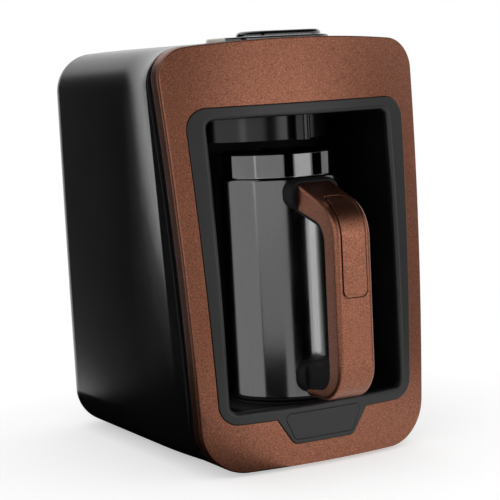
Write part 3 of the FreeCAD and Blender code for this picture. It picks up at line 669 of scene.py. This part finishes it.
@dataclass
class Flag:
    """A black card that only reflections see, so part of the white room stays out of them."""

    name: str
    first: float
    last: float
    near: float
    far: float
    low: float
    high: float
    centre: Vector
    steps: int = 12

    def build(self) -> None:
        """Adds the card: a level sheet from near to far, and an upright at far."""
        rows = ((self.near, self.low), (self.far, self.low), (self.far, self.high))
        shift = self.centre - POT_AXIS
        points = []
        for i in range(self.steps + 1):
            bearing = self.first + (self.last - self.first) * i / self.steps
            points += [toward(bearing, distance, height) + shift for distance, height in rows]
        faces = []
        for i in range(self.steps):
            for j in range(len(rows) - 1):
                corner = len(rows) * i + j
                across = corner + len(rows)
                faces.append((corner, corner + 1, across + 1, across))
        mesh = bpy.data.meshes.new(self.name)
        mesh.from_pydata(points, [], faces)
        card = bpy.data.objects.new(self.name, mesh)
        surface = Surface(f"card_{self.name}")
        surface.set(Base_Color=(0.004, 0.004, 0.004), Roughness=1.0, Specular_IOR_Level=0.0)
        mesh.materials.append(surface.material)
        for ray in ("camera", "diffuse", "transmission", "shadow", "volume_scatter"):
            setattr(card, f"visible_{ray}", False)
        bpy.context.scene.collection.objects.link(card)
        LOG.info("flag %s", self.name)


@dataclass
class Studio:
    """The floor, the world, the lamps and the camera."""

    floor_half: float = 4.0
    floor_tone: float = 0.82
    floor_lift: float = 0.48
    shadow_reach: float = 0.22
    white_reach: float = 0.5
    world_fill: float = 0.7
    camera_place: Vector = field(default_factory=lambda: Vector((-0.47668, -0.90305, 0.23684)))
    yaw: float = 27.93
    pitch: float = -6.45
    roll: float = -3.04
    lens: float = 117.48
    sensor: float = 36.0

    def floor(self) -> None:
        """Lays a pale floor that keeps the shadow near the object and is white farther out."""
        mesh = bpy.data.meshes.new("floor")
        half = self.floor_half
        corners = [(-half, -half, 0), (half, -half, 0), (half, half, 0), (-half, half, 0)]
        mesh.from_pydata(corners, [], [(0, 1, 2, 3)])
        piece = bpy.data.objects.new("floor", mesh)
        bpy.context.scene.collection.objects.link(piece)
        surface = Surface("pale_floor")
        tone = self.floor_tone
        surface.set(Base_Color=(tone, tone, tone), Roughness=0.9, Specular_IOR_Level=0.1)
        rays = surface.add("ShaderNodeLightPath")
        seen = surface.sum(rays.outputs["Is Camera Ray"], rays.outputs["Is Glossy Ray"], "MAXIMUM")
        seen = surface.sum(seen, rays.outputs["Is Transmission Ray"], "MAXIMUM")
        radius = surface.add("ShaderNodeVectorMath", operation="LENGTH")
        surface.join(surface.place, radius.inputs[0])
        far = surface.span(radius.outputs["Value"], 0.0, 1.0, self.shadow_reach, self.white_reach)
        white = surface.add("ShaderNodeEmission")
        surface.feed(white.inputs["Strength"], 1.0)
        lift = surface.add("ShaderNodeEmission")
        surface.feed(lift.inputs["Strength"], surface.sum(seen, self.floor_lift, "MULTIPLY"))
        near = surface.add("ShaderNodeAddShader")
        surface.join(surface.shader.outputs[0], near.inputs[0])
        surface.join(lift.outputs[0], near.inputs[1])
        mix = surface.add("ShaderNodeMixShader")
        surface.join(surface.sum(far, seen, "MULTIPLY"), mix.inputs[0])
        surface.join(near.outputs[0], mix.inputs[1])
        surface.join(white.outputs[0], mix.inputs[2])
        surface.join(mix.outputs[0], surface.output.inputs["Surface"])
        mesh.materials.append(surface.material)

    def world(self) -> None:
        """Makes a soft grey room that the camera, metal and glass see as white."""
        world = bpy.data.worlds.new("studio")
        world.use_nodes = True
        tree = world.node_tree
        background = tree.nodes["Background"]
        background.inputs["Color"].default_value = (1.0, 1.0, 1.0, 1.0)
        rays = tree.nodes.new("ShaderNodeLightPath")
        seen = tree.nodes.new("ShaderNodeMath")
        seen.operation = "MAXIMUM"
        tree.links.new(rays.outputs["Is Camera Ray"], seen.inputs[0])
        tree.links.new(rays.outputs["Is Transmission Ray"], seen.inputs[1])
        both = tree.nodes.new("ShaderNodeMath")
        both.operation = "MAXIMUM"
        tree.links.new(seen.outputs[0], both.inputs[0])
        tree.links.new(rays.outputs["Is Glossy Ray"], both.inputs[1])
        level = tree.nodes.new("ShaderNodeMapRange")
        tree.links.new(both.outputs[0], level.inputs["Value"])
        level.inputs["To Min"].default_value = self.world_fill
        level.inputs["To Max"].default_value = 1.0
        tree.links.new(level.outputs["Result"], background.inputs["Strength"])
        bpy.context.scene.world = world

    def lamps(self) -> None:
        """Sets the soft boxes and the flags between them."""
        for box in (
            SoftBox("left_box", -107.0, -19.0, 1.0, 0.02, 0.85, 0.2),
            SoftBox("right_box", 5.0, 38.0, 1.5, 0.02, 0.42, 1.55),
            SoftBox("bay_strip", -98.0, -57.0, 0.052, 0.03, 0.208, 1.15, lights_matt=False),
            SoftBox("grip_strip", 3.5, 18.0, 0.06, 0.062, 0.15, 2.2, lights_matt=False),
        ):
            box.build()
        for flag in (
            Flag("rear_left", -110.0, -168.0, 0.02, 1.3, 0.0015, 1.0, FLARE_FOOT),
            Flag("side_floor", -30.0, -148.0, 0.03, 0.42, 0.0012, 0.0014, POT_AXIS),
            Flag("rear_floor", -148.0, -167.0, 0.03, 0.27, 0.0012, 0.0014, POT_AXIS),
            Flag("front_gap", -16.0, 2.0, 0.3, 0.9, 0.0016, 0.9, POT_AXIS),
            Flag("front_right", 42.0, 66.0, 0.25, 1.4, 0.0015, 0.45, POT_AXIS),
            Flag("front_high", -125.0, 125.0, 0.01, 0.9, 0.72, 1.2, POT_AXIS),
        ):
            flag.build()

    def camera(self) -> None:
        """Sets the camera at the photograph's place and angle."""
        yaw, pitch, roll = (math.radians(angle) for angle in (self.yaw, self.pitch, self.roll))
        level_share = math.cos(pitch)
        ahead = Vector((math.sin(yaw) * level_share, math.cos(yaw) * level_share, math.sin(pitch)))
        level = Vector((math.cos(yaw), -math.sin(yaw), 0.0))
        upright = level.cross(ahead)
        right = math.cos(roll) * level + math.sin(roll) * upright
        up = -math.sin(roll) * level + math.cos(roll) * upright
        turn = Matrix((right, up, -ahead)).transposed()
        data = bpy.data.cameras.new("camera")
        data.lens = self.lens
        data.sensor_width = self.sensor
        camera = bpy.data.objects.new("camera", data)
        camera.matrix_world = Matrix.Translation(self.camera_place) @ turn.to_4x4()
        bpy.context.scene.collection.objects.link(camera)
        bpy.context.scene.camera = camera

    def build(self) -> None:
        """Sets up everything round the object."""
        bpy.context.scene.view_settings.view_transform = "Standard"
        for step in (self.floor, self.world, self.lamps, self.camera):
            step()
            LOG.info("studio: %s", step.__name__)


def main() -> None:
    """Dresses every sub-assembly in order, then builds the studio."""
    logging.basicConfig(level=logging.INFO, format="%(message)s")
    for part in (Housing(), FrontPanel(), PotBay(), TopControl(), Electronics(), Pot(), Handle()):
        part.dress()
    Studio().build()


if __name__ == "__main__":
    main()
